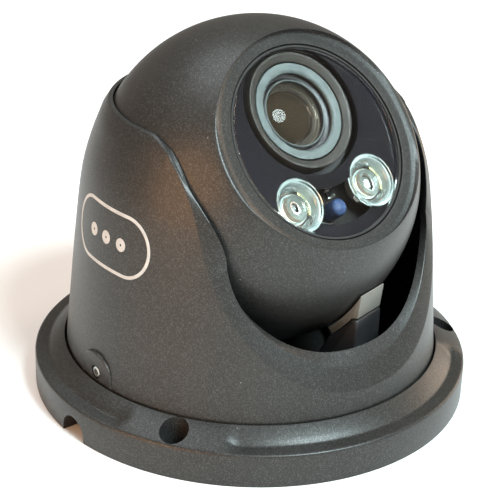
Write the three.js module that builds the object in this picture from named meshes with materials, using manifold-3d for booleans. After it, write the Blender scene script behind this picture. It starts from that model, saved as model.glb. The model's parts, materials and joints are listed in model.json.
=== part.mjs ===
// A dome CCTV camera of the eyeball kind. A round cast flange screws to a ceiling or wall, a cast shroud
// turns on the flange's collar, and a ball held in the shroud carries the lens, lights and window.
// Millimetres, +Z away from the mounting surface, origin at the middle of the flange's underside.
// The shroud's mouth faces -Y.

import * as THREE from 'three';
import { mergeVertices } from 'three/addons/utils/BufferGeometryUtils.js';
import Module from 'manifold-3d';

const wasm = await Module();
wasm.setup();

const DEG = Math.PI / 180;

// ---- Driving dimensions ---------------------------------------------------------------------------------

const gap = 0.3;              // room left between touching pieces

const flangeR = 69;           // outer radius of the mounting flange
const rimInnerR = 63.3;       // inside of the flange's skirt
const rimTopZ = 10.6;         // top edge of the vertical skirt
const stepR = 64.8;           // outer end of the low deck
const riserR = 63.4;          // foot of the raised inner ring
const ringR = 59.5;           // inner edge of the raised ring, next to the shroud
const ringTopZ = 15.2;
const plateZ = 7;             // underside of the floor plate
const plateT = 3;
const collarR = 55.8;         // collar that the shroud turns on
const collarInnerR = 52.6;
const collarTopZ = 24;
const lockZ = 17.5;           // height of the V groove and of the lock screws

const holeCircleR = 64;       // mounting screws
const holeR = 3;
const counterboreR = 4.3;
const seatZ = 5.5;            // floor of the counterbores
const padHalfAngle = 14 * DEG;
const notchW = 10.5;          // cable notch in the skirt
const notchH = 6.8;
const cableHoleR = 10;

const shroudFootR = 58.9;
const shroudInnerR = 51.5;
const shroudFootZ = 10.9;
const shoulderZ = 24.6;
const shroudTopZ = 93.3;
const shroudTurn = -2.5 * DEG; // the shroud stands a touch turned from the lens's direction
const mouthHalfW = 42.8;      // U-shaped mouth, seen from the front
const mouthBottomZ = 32;
const mouthSpringZ = 90;      // height where its sides are straight up
const mouthSquare = 2.5;      // 2 would make the U an ellipse, more is squarer
const bevelTilt = 33 * DEG;   // the U's lip is bevelled by a cut facing forwards and this far upwards
const bevelAhead = 24;        // distance of that cut from the ball's centre

const ballZ = 67.3;           // height of the ball's centre
const ballR = 50.4;
const ballWall = 3.8;
const faceTilt = 37.4 * DEG;  // direction of the lens above the horizontal
const faceRoll = 2.1 * DEG;   // the ball sits a touch turned about its own lens axis
const partingW = -26;         // plane where the two ball shells meet

const windowR = 30.2;         // opening of the bezel
const bezelW = 34.6;          // flat of the bezel, measured from the ball's centre
const bezelEdgeR = 35.8;      // outer edge of the bezel at its sides
const bezelEdgeW = 35.2;      // and its height there, which grows towards the top and bottom
const bezelSweep = 0.0021;
const glassR = 28.9;
const glassT = 1.7;
const maskR = 29.95;
const maskFrontW = 32.2;
const maskT = 1.4;
const ledgeR = 28.8;
const ledgeW = 30.5;

const lensV = 10.5;           // the lens sits this far above the middle of the face
const lensHoleR = 20.1;
const hoodR = 17.9;
const lensR = 14.9;
const lensFrontW = 31.2;

const ledU = 14.4;            // the two infrared lights, either side and below
const ledV = -15.7;
const opticR = 8.2;
const ledBoardW = 25;         // front of the board behind them
const boardT = 1.6;
const ldrV = -19.7;           // light sensor between the lights
const ldrR = 2.6;

const boardSize = 38;         // square boards behind the lens
const sensorBoardW = -8.4;    // front of the sensor board
const powerBoardW = -18.4;
const pillarAt = 16;

const fine = 64;              // facets round a casting
const ballFacets = 48;
const medium = 28;
const small = 12;

// ---- Materials ------------------------------------------------------------------------------------------

function finish(color, roughness, metalness = 0, opacity = 1) {
  return new THREE.MeshStandardMaterial({ color, roughness, metalness, opacity, transparent: opacity < 1 });
}

const paint = () => finish(0x4a4c4e, 0.5, 0.35);
const blackPlastic = () => finish(0x141416, 0.45);
const blackRubber = () => finish(0x101010, 0.85);
const clear = () => finish(0xf4f8f8, 0.05, 0, 0.3);
const coatedGlass = () => finish(0x2b231d, 0.05, 0, 0.8);
const steel = () => finish(0xb8babc, 0.3, 1);
const greyRing = () => finish(0x8a9696, 0.5);
const circuitBoard = () => finish(0x2b2a28, 0.5);

// ---- Helpers --------------------------------------------------------------------------------------------

// One closed body: shared corners merged, triangles with no area dropped, faces turned outwards.
function closed(geometry) {
  geometry.deleteAttribute('normal');
  geometry.deleteAttribute('uv');
  const merged = mergeVertices(geometry, 1e-4);
  const at = merged.getAttribute('position');
  const corners = [];
  let volume = 0;
  for (let i = 0; i < merged.index.count; i += 3) {
    const [a, b, c] = [0, 1, 2].map((k) => merged.index.getX(i + k));
    if (a === b || b === c || c === a) continue;
    corners.push([a, b, c]);
    const [p, q, r] = [a, b, c].map((k) => new THREE.Vector3().fromBufferAttribute(at, k));
    volume += p.dot(q.cross(r));
  }
  if (volume < 0) corners.forEach((corner) => corner.reverse());
  merged.setIndex(corners.flat());
  return merged;
}

function solid(geometry) {
  const body = closed(geometry);
  const vertProperties = new Float32Array(body.getAttribute('position').array);
  const triVerts = new Uint32Array(body.index.array);
  return new wasm.Manifold(new wasm.Mesh({ numProp: 3, vertProperties, triVerts }));
}

function surface(manifold) {
  const mesh = manifold.getMesh();
  const geometry = new THREE.BufferGeometry();
  geometry.setAttribute('position', new THREE.BufferAttribute(new Float32Array(mesh.vertProperties), 3));
  geometry.setIndex(Array.from(mesh.triVerts));
  return geometry;
}

// Turns a profile of [radius, height] points about Z. It closes on itself or runs from axis to axis.
function turned(profile, facets) {
  const points = profile.map(([r, z]) => new THREE.Vector2(r, z));
  const onAxis = profile[0][0] === 0 && profile.at(-1)[0] === 0;
  if (!onAxis) points.push(points[0].clone());
  return new THREE.LatheGeometry(points, facets).rotateX(Math.PI / 2);
}

function ring(innerR, outerR, z0, z1, facets) {
  return turned([[innerR, z0], [outerR, z0], [outerR, z1], [innerR, z1]], facets);
}

function disc(radius, z0, z1, facets) {
  return turned([[0, z0], [radius, z0], [radius, z1], [0, z1]], facets);
}

function block(x, y, z, [cx, cy, cz]) {
  return new THREE.BoxGeometry(x, y, z).translate(cx, cy, cz);
}

// A flat outline of [x, y] points raised along Z from z0 to z1.
function raised(outline, z0, z1) {
  const shape = new THREE.Shape(outline.map(([x, y]) => new THREE.Vector2(x, y)));
  const options = { depth: z1 - z0, bevelEnabled: false };
  return new THREE.ExtrudeGeometry(shape, options).translate(0, 0, z0);
}

// Points of a circular arc of radius R about [0, middle], from one angle to another, as [radius, height].
function arc(R, middle, from, to, steps) {
  return Array.from({ length: steps + 1 }, (_, i) => {
    const angle = from + ((to - from) * i) / steps;
    return [R * Math.cos(angle), middle + R * Math.sin(angle)];
  });
}

// A point at an angle round Z, counted from the front (-Y) towards +X.
function around(radius, angle) {
  return [radius * Math.sin(angle), -radius * Math.cos(angle)];
}

function sized(group) {
  return (name, geometry, material, place = [0, 0, 0]) => {
    const mesh = new THREE.Mesh(closed(geometry), material);
    mesh.name = name;
    mesh.position.set(...place);
    group.add(mesh);
    return mesh;
  };
}

// ---- Base -----------------------------------------------------------------------------------------------

const holeAngles = [-60, 60, 180].map((a) => a * DEG);
const screwAngles = [90, 210, 330].map((a) => a * DEG);
const armAngles = [12, 132, 252].map((a) => a * DEG);
const bracketScrewR = 42;
const bracketT = 3;
const bracketHoleR = 1.8;
const padT = 2.5;             // rubber between the bracket's arms and the ball
const bracketZ = plateZ + plateT + gap;

function flangeBody() {
  const topZ = plateZ + plateT;
  const groove = 1.1;
  return solid(turned([
    [cableHoleR, plateZ], [rimInnerR, plateZ], [rimInnerR, 0], [flangeR, 0], [flangeR, rimTopZ],
    [stepR, rimTopZ + 0.4], [riserR, rimTopZ + 1.7], [ringR, ringTopZ], [ringR, topZ], [collarR, topZ],
    [collarR, lockZ - groove], [collarR - groove, lockZ], [collarR, lockZ + groove],
    [collarR, collarTopZ], [collarInnerR, collarTopZ], [collarInnerR, topZ], [cableHoleR, topZ],
  ], fine));
}

// The pad round each mounting hole fills the step up to a plain cone.
function holePad(angle) {
  const under = rimTopZ - 1;
  const cone = turned([[ringR, under], [flangeR, under], [flangeR, rimTopZ], [ringR, ringTopZ]], fine);
  const reach = flangeR * 1.2;
  const half = reach * Math.tan(padHalfAngle);
  const wedge = raised([[0, 0], [half, -reach], [-half, -reach]], 0, ringTopZ + 1).rotateZ(angle);
  return solid(cone).intersect(solid(wedge));
}

function holeBoss(angle) {
  const [x, y] = around(holeCircleR, angle);
  const boss = disc(counterboreR + 2, 0, plateZ + 1, small + 8).translate(x, y, 0);
  const skirt = disc(flangeR, -1, plateZ + 2, fine);
  return solid(boss).intersect(solid(skirt));
}

function baseFlange() {
  let body = flangeBody();
  for (const angle of holeAngles) body = body.add(holePad(angle)).add(holeBoss(angle));
  for (const angle of holeAngles) {
    const [x, y] = around(holeCircleR, angle);
    body = body.subtract(solid(disc(holeR, -1, ringTopZ + 2, small + 8).translate(x, y, 0)));
    body = body.subtract(solid(disc(counterboreR, seatZ, ringTopZ + 2, small + 8).translate(x, y, 0)));
  }
  for (const angle of screwAngles) {
    const [x, y] = around(bracketScrewR, angle);
    body = body.subtract(solid(disc(bracketHoleR, 0, bracketZ + 1, small).translate(x, y, 0)));
  }
  const arch = [[-notchW / 2, -1], [notchW / 2, -1]].concat(
    arc(notchW / 2, notchH - notchW / 2, 0, Math.PI, 10));
  const notch = raised(arch, -flangeR - 2, -rimInnerR + 2).rotateX(Math.PI / 2).rotateZ(Math.PI / 2);
  return surface(body.subtract(solid(notch)));
}

function cableGrommet() {
  const [low, high] = [plateZ - gap, plateZ + plateT + gap];
  const [bore, waist, lip, lipT] = [3.6, cableHoleR - gap, 12.5, 1.5];
  return turned([
    [bore, low - lipT], [lip, low - lipT], [lip, low], [waist, low], [waist, high], [lip, high],
    [lip, high + lipT], [bore, high + lipT],
  ], small + 8);
}

// A ring on the floor plate with three arms that reach up under the ball.
function seatBracket() {
  const armW = 13;
  const foot = [[30, bracketZ], [45.5, bracketZ], [45.5, 33]];
  const cradle = arc(ballR + padT + gap, ballZ, -37 * DEG, -50 * DEG, 5);
  let body = solid(ring(26, 47, bracketZ, bracketZ + bracketT, fine / 2));
  for (const angle of armAngles) {
    const arm = raised([...foot, ...cradle, [31, 20]], -armW / 2, armW / 2)
      .rotateX(Math.PI / 2).rotateZ(angle - Math.PI / 2);
    body = body.add(solid(arm));
  }
  for (const angle of screwAngles) {
    const [x, y] = around(bracketScrewR, angle);
    const hole = disc(bracketHoleR, bracketZ - 1, bracketZ + bracketT + 1, small);
    body = body.subtract(solid(hole.translate(x, y, 0)));
  }
  return surface(body);
}

function seatPad(angle) {
  const padW = 10;
  const under = arc(ballR + padT, ballZ, -38 * DEG, -48 * DEG, 4);
  const over = arc(ballR + gap, ballZ, -48 * DEG, -38 * DEG, 4);
  return raised([...under, ...over], -padW / 2, padW / 2).rotateX(Math.PI / 2).rotateZ(angle - Math.PI / 2);
}

function panScrew(headR, headT, shankR, shankL) {
  const shank = [[0, -shankL], [shankR, -shankL], [shankR, 0]];
  return turned([...shank, [headR, 0], [headR, headT], [0, headT]], small);
}

// ---- Shroud ---------------------------------------------------------------------------------------------

function shroud() {
  const socketR = ballR + 0.5;
  const rise = Math.asin((shroudTopZ - ballZ) / socketR);
  const outside = [
    [shroudFootR, shroudFootZ], [shroudFootR, 15.2], [57.4, 32], [56, 48], [54.6, 62], [53.9, 68],
    [52.9, 74], [50.1, 83], [47.3, 90], [45.2, shroudTopZ],
  ];
  const boreR = collarR + 0.4;
  const straight = [[shroudInnerR, 58], [shroudInnerR, shoulderZ + 3]];
  const foot = [[boreR, shoulderZ], [boreR, shroudFootZ]];
  const inside = arc(socketR, ballZ, rise, 0, 5).concat(straight, foot);
  let body = solid(turned([...outside, ...inside], fine));
  for (const side of [-1, 1]) {
    const tab = arc(8, 16.4, 0, Math.PI, 10).concat([[-8, shroudFootZ], [8, shroudFootZ]]);
    const prism = raised(tab, 50, 62).rotateX(Math.PI / 2).rotateZ(side * Math.PI / 2);
    const skin = ring(57, shroudFootR + gap, shroudFootZ, 30, fine);
    body = body.add(solid(skin).intersect(solid(prism)));
    const bore = disc(2.1, 50, 62, small).rotateY(side * Math.PI / 2).translate(0, 0, lockZ);
    body = body.subtract(solid(bore));
  }
  return surface(body.subtract(solid(mouth())).subtract(solid(lipBevel())));
}

// The U as a block that runs forwards from the middle of the shroud.
function mouth() {
  const drop = mouthSpringZ - mouthBottomZ;
  const steps = 28;
  const outline = [[mouthHalfW, 130], [-mouthHalfW, 130]];
  for (let i = 0; i <= steps; i += 1) {
    const angle = (Math.PI * i) / steps;
    const [c, d] = [Math.cos(angle), Math.sin(angle)];
    const power = 2 / mouthSquare;
    outline.push([-mouthHalfW * Math.sign(c) * Math.abs(c) ** power, mouthSpringZ - drop * d ** power]);
  }
  return raised(outline, 2, 80).rotateX(Math.PI / 2);
}

function lipBevel() {
  const reach = 160;
  return block(reach, reach, reach, [0, 0, bevelAhead + reach / 2])
    .rotateX(Math.PI / 2 - bevelTilt).translate(0, 0, ballZ);
}

function lockScrew(side) {
  const grub = disc(1.75, collarR + gap, shroudFootR - 0.3, small);
  const socket = disc(1, shroudFootR - 1.6, shroudFootR + 1, 6);
  return surface(solid(grub).subtract(solid(socket))).rotateY(side * Math.PI / 2).translate(0, 0, lockZ);
}

// ---- Ball shells ----------------------------------------------------------------------------------------

const flangeInR = 31;         // inner flanges where the shells screw together
const flangeInW = -21.6;      // front of the front shell's inner flange
const crownW = 28.2;          // back of the front shell's face
const shellScrewR = 34.8;
const pocketW = -31;
const glandTurn = 24.6 * DEG; // the cable leaves this far below the ball's rear pole

// The bezel's outer edge lies on the ball and rises towards the top and bottom of the face.
function frontShell() {
  const innerR = ballR - ballWall;
  const edge = Math.acos(bezelEdgeR / ballR);
  const parting = Math.asin(partingW / ballR);
  const innerTop = Math.asin(crownW / innerR);
  const innerLow = Math.asin(flangeInW / innerR);
  const profile = [
    ...arc(ballR, 0, parting, edge, 10),
    [34.6, bezelW + 0.45], [33.2, bezelW + 0.1], [31.8, bezelW], [windowR, bezelW],
    [windowR, ledgeW], [ledgeR, ledgeW], [ledgeR, crownW],
    ...arc(innerR, 0, innerTop, innerLow, 5),
    [flangeInR, flangeInW], [flangeInR, partingW],
  ];
  const geometry = turned(profile, ballFacets);
  const at = geometry.getAttribute('position');
  for (let i = 0; i < at.count; i += 1) {
    const [x, y, z] = [at.getX(i), at.getY(i), at.getZ(i)];
    const onEdge = Math.abs(Math.hypot(x, y) - bezelEdgeR) < 0.01 && z > bezelW;
    if (!onEdge) continue;
    const w = bezelEdgeW + bezelSweep * y * y;
    const r = Math.sqrt(ballR * ballR - w * w) / Math.hypot(x, y);
    at.setXYZ(i, x * r, y * r, w);
  }
  let body = solid(geometry);
  for (const [x, y] of shellScrewPlaces()) {
    body = body.subtract(solid(disc(1.75, partingW - 1, -20, small).translate(x, y, 0)));
  }
  return surface(body);
}

function shellScrewPlaces() {
  return [45, 135, 225, 315].map((a) => around(shellScrewR, a * DEG));
}

function rearShell() {
  const innerR = ballR - ballWall;
  const faceW = partingW - gap;
  const outerStart = Math.asin(faceW / ballR);
  const innerStart = -Math.acos(flangeInR / innerR);
  const profile = [
    ...arc(innerR, 0, -Math.PI / 2, innerStart, 4), [flangeInR, faceW], [40, faceW], [40, faceW - 1.3],
    [41.8, faceW - 1.3], [41.8, faceW], ...arc(ballR, 0, outerStart, -Math.PI / 2, 6),
  ];
  profile[0][0] = 0;
  profile.at(-1)[0] = 0;
  let body = solid(turned(profile, ballFacets));
  for (const [x, y] of shellScrewPlaces()) {
    body = body.subtract(solid(disc(1.8, -45, -20, small).translate(x, y, 0)));
    body = body.subtract(solid(disc(3.3, -60, pocketW, small).translate(x, y, 0)));
  }
  return surface(body.subtract(solid(disc(6.3, -60, -40, small + 8).rotateX(-glandTurn))));
}

// The gland is fitted from inside the shell, so that nothing stands proud of the ball in its seat.
function rearGland() {
  const [body, lip, bore] = [6, 8, 3.2];
  const [tipW, lipW, backW] = [-49.6, -45.2, -43.6];
  return turned([
    [bore, tipW], [body, tipW], [body, lipW], [lip, lipW], [lip, backW], [bore, backW],
  ], small + 8).rotateX(-glandTurn);
}

// ---- Face -----------------------------------------------------------------------------------------------

// Black plate behind the window: a wide round hole for the lens, and one cut-out for lights and sensor.
function maskPlate() {
  const back = maskFrontW - maskT;
  const hole = (radius, u, v) => solid(disc(radius, back - 1, maskFrontW + 1, medium).translate(u, v, 0));
  const between = raised([[-ledU, ledV + 4], [ledU, ledV + 4], [ledU, ledV - 8.2], [-ledU, ledV - 8.2]],
    back - 1, maskFrontW + 1);
  return surface(solid(disc(maskR, back, maskFrontW, fine))
    .subtract(hole(lensHoleR, 0, lensV))
    .subtract(hole(opticR + gap / 2, -ledU, ledV))
    .subtract(hole(opticR + gap / 2, ledU, ledV))
    .subtract(solid(between)));
}

function lensHood() {
  const front = maskFrontW + 0.1;
  const [back, bore] = [21.4, 15.3];
  const funnel = [[hoodR - 0.6, front], [bore, front - 1.2]];
  return turned([[bore, back], [hoodR, back], [hoodR, front], ...funnel], medium);
}

// Clear moulded optic: a flared body over the light, with a round dome in its open front.
function ledOptic() {
  const front = maskFrontW;
  return turned([
    [0, 27.8], [3.6, 27.8], [3.6, 25.4], [5, 25.4], [7, front - 1.8], [7.7, front - 1.2],
    [opticR, front - 1], [opticR, front], [7, front],
    [5.2, 29.6], [4, 29.2], [3.3, 30.3], [1.9, 31.2], [0, 31.5],
  ], small + 8);
}

function ledBoard() {
  const plate = solid(disc(33, ledBoardW - boardT, ledBoardW, fine / 2));
  const hole = disc(hoodR + 0.6, ledBoardW - 5, ledBoardW + 1, medium).translate(0, lensV, 0);
  return surface(plate.subtract(solid(hole)));
}

// ---- Lens -----------------------------------------------------------------------------------------------

const tubeR = 10.6;           // the fixed barrel that the rings turn on
const ringBoreR = tubeR + 0.4;

function lensBarrel() {
  const [back, front] = [-1, 23.1];
  const stop = [[tubeR, 11], [13, 11], [13, 14], [tubeR, 14]];
  return turned([[0, back], [tubeR, back], ...stop, [tubeR, front], [0, front]], medium);
}

function frontElement() {
  const crown = arc(17.6, 12.3, Math.acos(9.4 / 17.6), Math.PI / 2, 5);
  crown.at(-1)[0] = 0;
  return turned([[0, 24.5], [10.6, 24.5], [10.6, 26.6], [9.4, 27.1], ...crown], medium);
}

function lockKnob() {
  return turned([[0, 0], [1.2, 0], [1.2, 1.6], [2.2, 1.6], [2.2, 4.4], [0, 4.4]], small);
}

function lensHolder() {
  const [outer, inner] = [26, 16];
  const body = solid(block(outer, outer, 6.8, [0, 0, sensorBoardW + gap + 3.4]));
  return surface(body.subtract(solid(block(inner, inner, 12, [0, 0, sensorBoardW + gap + 3.4]))));
}

// ---- Assembly -------------------------------------------------------------------------------------------

const camera = new THREE.Group();

function addBase() {
  const add = sized(camera);
  add('base_flange', baseFlange(), paint());
  add('cable_grommet', cableGrommet(), blackRubber());
  add('seat_bracket', seatBracket(), blackPlastic());
  armAngles.forEach((angle, i) => add(`seat_pad_${i + 1}`, seatPad(angle), blackRubber()));
  screwAngles.forEach((angle, i) => {
    const place = [...around(bracketScrewR, angle), bracketZ + bracketT + gap];
    add(`bracket_screw_${i + 1}`, panScrew(2.8, 2, 1.4, 6), steel(), place);
  });
}

function addShroud() {
  const turnedGroup = new THREE.Group();
  turnedGroup.rotation.z = shroudTurn;
  camera.add(turnedGroup);
  const add = sized(turnedGroup);
  add('shroud', shroud(), paint());
  add('lock_screw_left', lockScrew(-1), steel());
  add('lock_screw_right', lockScrew(1), steel());
}

function addShells(ball) {
  const add = sized(ball);
  add('ball_front_shell', frontShell(), paint());
  add('ball_rear_shell', rearShell(), paint());
  add('shell_seal', ring(40.3, 41.5, partingW - gap - 1, partingW - gap, ballFacets), blackRubber());
  shellScrewPlaces().forEach(([x, y], i) => {
    const screw = panScrew(2.7, 1.7, 1.4, 8.8).rotateX(Math.PI);
    add(`shell_screw_${i + 1}`, screw, steel(), [x, y, pocketW - gap]);
  });
  add('rear_gland', rearGland(), blackRubber());
}

function addFace(ball) {
  const add = sized(ball);
  const glassBack = maskFrontW + 0.4;
  const gasket = ring(glassR + 0.25, windowR - gap, glassBack - 0.1, glassBack + glassT, fine);
  add('window_gasket', gasket, blackRubber());
  add('front_glass', disc(glassR, glassBack, glassBack + glassT, fine), clear());
  add('mask_plate', maskPlate(), blackPlastic());
  add('lens_hood', lensHood(), blackRubber(), [0, lensV, 0]);
  add('led_board', ledBoard(), circuitBoard());
  for (const [side, name] of [[-1, 'left'], [1, 'right']]) {
    const chip = block(4.6, 4.6, 1.2, [0, 0, ledBoardW + gap + 0.6]);
    add(`led_${name}`, chip, finish(0xe6d98a, 0.4), [side * ledU, ledV, 0]);
    add(`led_optic_${name}`, ledOptic(), clear(), [side * ledU, ledV, 0]);
  }
  const sensor = disc(ldrR, ledBoardW + gap, maskFrontW - 0.2, small + 4);
  add('light_sensor', sensor, finish(0x3a4a86, 0.35), [0, ldrV, 0]);
  add('chip_resistor', block(1.6, 2.8, 0.9, [2, -14.6, ledBoardW + gap + 0.45]), steel());
}

function addLens(ball) {
  const lens = new THREE.Group();
  lens.position.y = lensV;
  ball.add(lens);
  const add = sized(lens);
  add('lens_barrel', lensBarrel(), blackPlastic());
  add('zoom_ring', ring(ringBoreR, 13.6, 3.3, 10.7, medium), blackPlastic());
  add('focus_ring', ring(ringBoreR, 14, 14.3, 20.9, medium), blackPlastic());
  add('lens_front_cell', ring(11, 14.6, 22.3, 29.3, medium), blackPlastic());
  add('lens_front_ring', ring(12, lensR, 29.6, lensFrontW, medium), greyRing());
  add('lens_inner_ring', ring(9.85, 10.7, 28.3, 29.2, medium), greyRing());
  add('lens_front_element', frontElement(), coatedGlass());
  const knobs = [['zoom_lock_knob', 13.9, 7, 35], ['focus_lock_knob', 14.3, 17.6, -40]];
  for (const [name, radius, w, angle] of knobs) {
    const knob = lockKnob().rotateY(Math.PI / 2).translate(radius, 0, w).rotateZ(angle * DEG);
    add(name, knob, steel());
  }
  add('lens_holder', lensHolder(), blackPlastic());
  add('ir_cut_filter', block(14.6, 14.6, 1, [0, 0, -4.2]), coatedGlass());
  const behind = sensorBoardW - boardT / 2;
  add('image_sensor', block(10, 9, 1.4, [0, 0, sensorBoardW + gap + 0.7]), finish(0x2c3a44, 0.2));
  add('sensor_board', block(boardSize, boardSize, boardT, [0, 0, behind]), circuitBoard());
  add('power_board', block(boardSize, boardSize, boardT, [0, 0, powerBoardW - boardT / 2]), circuitBoard());
  const connector = block(10, 6, 4.6, [8, -8, powerBoardW - boardT - gap - 2.3]);
  add('power_connector', connector, finish(0xe8e4d8, 0.5));
  const pillarTop = sensorBoardW - boardT - gap;
  [[-1, -1], [1, -1], [1, 1], [-1, 1]].forEach(([sx, sy], i) => {
    const pillar = disc(1.8, powerBoardW + gap, pillarTop, small / 2);
    add(`board_pillar_${i + 1}`, pillar, steel(), [sx * pillarAt, sy * pillarAt, 0]);
  });
}

function addBall() {
  const ball = new THREE.Group();
  ball.position.z = ballZ;
  ball.rotation.set(Math.PI / 2 - faceTilt, 0, faceRoll);
  camera.add(ball);
  addShells(ball);
  addFace(ball);
  addLens(ball);
}

addBase();
addShroud();
addBall();

export default camera;
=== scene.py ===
# %% [markdown]
# # A dome CCTV camera, finished in Blender
# The CAD model gives every size, joint and place. This script adds the looks: finer castings with
# rounded edges, a stepped window with a lens, lights and sensor behind it, and a finish for each part.
# The real camera is three castings: a flange that is screwed to the ceiling, a shroud that turns on it,
# and a ball that tilts in the shroud. The frame comes first, because every new piece rides on its bodies.

# %% Load the frame
import json
import math

import bmesh
import bpy
from mathutils import Matrix, Vector


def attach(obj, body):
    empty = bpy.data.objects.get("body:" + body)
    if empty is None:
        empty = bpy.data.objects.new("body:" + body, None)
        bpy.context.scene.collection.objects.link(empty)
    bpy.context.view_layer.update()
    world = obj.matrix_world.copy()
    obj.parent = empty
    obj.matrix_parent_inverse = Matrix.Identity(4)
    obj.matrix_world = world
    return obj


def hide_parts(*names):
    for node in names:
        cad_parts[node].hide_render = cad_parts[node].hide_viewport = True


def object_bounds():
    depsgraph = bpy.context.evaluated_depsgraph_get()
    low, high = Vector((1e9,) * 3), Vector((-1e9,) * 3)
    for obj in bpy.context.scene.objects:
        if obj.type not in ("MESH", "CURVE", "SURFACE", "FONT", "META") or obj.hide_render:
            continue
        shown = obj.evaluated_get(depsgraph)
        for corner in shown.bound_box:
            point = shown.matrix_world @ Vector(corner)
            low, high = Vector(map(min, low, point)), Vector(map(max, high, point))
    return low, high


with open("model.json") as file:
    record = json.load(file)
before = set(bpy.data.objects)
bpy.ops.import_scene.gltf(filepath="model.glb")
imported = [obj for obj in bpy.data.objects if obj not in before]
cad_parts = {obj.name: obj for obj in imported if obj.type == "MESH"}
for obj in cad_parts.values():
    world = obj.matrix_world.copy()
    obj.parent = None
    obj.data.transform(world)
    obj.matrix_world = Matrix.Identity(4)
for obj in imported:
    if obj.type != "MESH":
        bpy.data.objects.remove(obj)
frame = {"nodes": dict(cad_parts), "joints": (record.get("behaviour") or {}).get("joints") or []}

cad_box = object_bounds()
print("CAD box, mm:", [round(v * 1000, 1) for v in (cad_box[1] - cad_box[0])])

# %% [markdown]
# ## The camera's place
# A long lens a half metre away keeps the circles of the flange and the window nearly true. The view is
# from the front left, 29 degrees above the flange, and rolled by two degrees, as if held by hand.

# %% Set the camera
MM = 0.001


def point_of_view(azimuth, elevation, distance, aim, roll, lens):
    """Angles in degrees, distance from the origin and aim in mm, focal length in mm."""
    data = bpy.data.cameras.new("view")
    data.lens = lens
    view = bpy.data.objects.new("view", data)
    a, e = math.radians(azimuth), math.radians(elevation)
    eye = Vector((math.sin(a) * math.cos(e), -math.cos(a) * math.cos(e), math.sin(e))) * distance
    back = (eye - aim).normalized()
    right = (-back).cross(Vector((0, 0, 1))).normalized()
    up = right.cross(-back)
    turn = Matrix.Rotation(-math.radians(roll), 3, back)
    axes = Matrix((turn @ right, turn @ up, back)).transposed()
    view.matrix_world = Matrix.Translation(eye * MM) @ axes.to_4x4()
    bpy.context.scene.collection.objects.link(view)
    bpy.context.scene.camera = view
    return view


view = point_of_view(-41, 29.41, 492.5, Vector((-0.8, 0.7, 42.8)), -2.08, 108)
print("camera at", [round(v, 3) for v in view.location])

# %% [markdown]
# ## Floor and light
# The studio is a white floor that runs out of sight, laid further on, and four soft boxes. A weak cool one
# hangs overhead. The strong one stands high in front, off the line that the window mirrors towards the
# view, so the window stays dark. Two warm ones stand low on the left and the right.

# %% Hang the lights
MIDDLE = Vector((0, 0, 0.05))  # the lamps face the middle of the camera


def softbox(name, place, size, power, colour):
    data = bpy.data.lights.new(name, "AREA")
    data.shape = "DISK"
    data.size = size
    data.energy = power
    data.color = colour
    lamp = bpy.data.objects.new(name, data)
    lamp.location = place
    lamp.rotation_euler = (MIDDLE - Vector(place)).to_track_quat("-Z", "Y").to_euler()
    bpy.context.scene.collection.objects.link(lamp)


softbox("overhead", (-0.1, 0.35, 1.1), 0.8, 6, (0.86, 0.95, 1.0))
softbox("front", (0.05, -0.8, 0.95), 0.5, 28, (0.78, 0.96, 1.0))
softbox("left", (-1.0, -0.1, 0.25), 0.9, 9, (1.0, 0.5, 0.22))
softbox("right", (1.05, -0.1, 0.3), 0.6, 5, (1.0, 0.78, 0.6))
world = bpy.data.worlds.new("studio")
bpy.context.scene.world = world
world.use_nodes = True
background = world.node_tree.nodes["Background"]
background.inputs["Color"].default_value = (1.0, 0.88, 0.76, 1)
background.inputs["Strength"].default_value = 0.36
bpy.context.scene.view_settings.view_transform = "Standard"
print(len(bpy.data.lights), "soft boxes")

# %% [markdown]
# ## Making a finish
# A real surface is never one flat colour. Each finish here mixes two close colours in soft patches,
# adds a fine grain that moves both the gloss and the surface, and may scatter bright flecks. All of it
# is read from Object coordinates in millimetres, so it stays on the part when the part turns.

# %% A helper for finishes


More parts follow.
